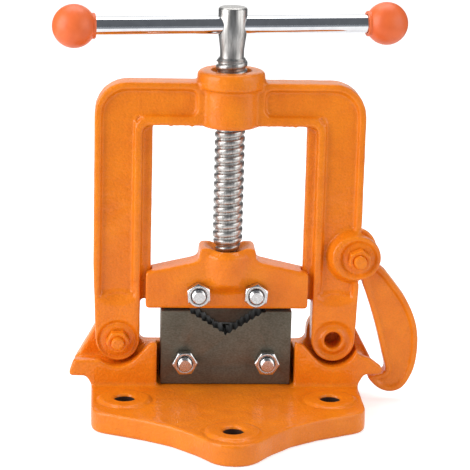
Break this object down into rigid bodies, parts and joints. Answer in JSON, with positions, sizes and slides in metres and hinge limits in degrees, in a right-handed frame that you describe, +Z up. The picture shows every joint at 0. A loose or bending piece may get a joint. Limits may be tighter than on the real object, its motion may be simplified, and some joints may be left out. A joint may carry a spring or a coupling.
{
  "type": "bench pipe vise",
  "caption": "Hinged bench vise that holds round pipe between a toothed V jaw and a wedge jaw driven down by a screw with a sliding bar handle; the yoke swings open once its hook is released.",
  "frame": {"origin": "on the bench face, straight below the screw's axis", "axes": "+X towards the hook's side, +Y to the back, +Z up along the screw's axis"},
  "size_m": [0.2202, 0.1457, 0.2413],
  "materials": {
    "orange_enamel": "glossy enamel on cast iron",
    "orange_knob": "satin",
    "blackened_steel": "blackened, faint ground grain",
    "zinc_plate": "bright zinc plating",
    "bright_steel": "bright turned steel",
    "chrome": "polished"
  },
  "bodies": {
    "base": {"base_casting": "orange_enamel", "lower_jaw": "blackened_steel", "lower_jaw_bolt_left": "zinc_plate", "lower_jaw_bolt_right": "zinc_plate", "lower_jaw_nut_left": "zinc_plate", "lower_jaw_nut_right": "zinc_plate", "hinge_bolt": "orange_enamel", "hinge_nut": "orange_enamel"},
    "yoke": {"yoke_casting": "orange_enamel", "hook_bolt": "orange_enamel", "hook_nut": "orange_enamel"},
    "crosshead": {"crosshead_casting": "orange_enamel", "upper_jaw": "blackened_steel", "upper_jaw_bolt_left": "zinc_plate", "upper_jaw_bolt_right": "zinc_plate", "upper_jaw_nut_left": "zinc_plate", "upper_jaw_nut_right": "zinc_plate", "screw_retaining_pin_left": "zinc_plate", "screw_retaining_pin_right": "zinc_plate"},
    "screw": {"lead_screw": "bright_steel"},
    "handle": {"handle_bar": "chrome", "ball_knob_left": "orange_knob", "ball_knob_right": "orange_knob"},
    "hook": {"hook_casting": "orange_enamel"}
  },
  "joints": [
    {"name": "yoke_hinge", "type": "hinge", "parent": "base", "child": "yoke", "pos_m": [-0.0645, 0, 0.0395], "axis": [0, -1, 0], "range_deg": [0, 88]},
    {"name": "crosshead_slide", "type": "slide", "parent": "yoke", "child": "crosshead", "axis": [0, 0, 1], "range_m": [0, 0.062]},
    {"name": "screw_turn", "type": "hinge", "parent": "crosshead", "child": "screw", "pos_m": [0, 0, 0.2286], "axis": [0, 0, 1], "range_deg": [0, 4464]},
    {"name": "handle_slide", "type": "slide", "parent": "screw", "child": "handle", "axis": [0.9903, 0.1392, 0], "range_m": [-0.0715, 0.0715]},
    {"name": "hook_swing", "type": "hinge", "parent": "yoke", "child": "hook", "pos_m": [0.0775, 0, 0.092], "axis": [0, -1, 0], "range_deg": [-1.9, 90]}
  ],
  "couplings": [
    {"joint": "crosshead_slide", "follows": "screw_turn", "m_per_rad": 0.00079577}
  ]
}
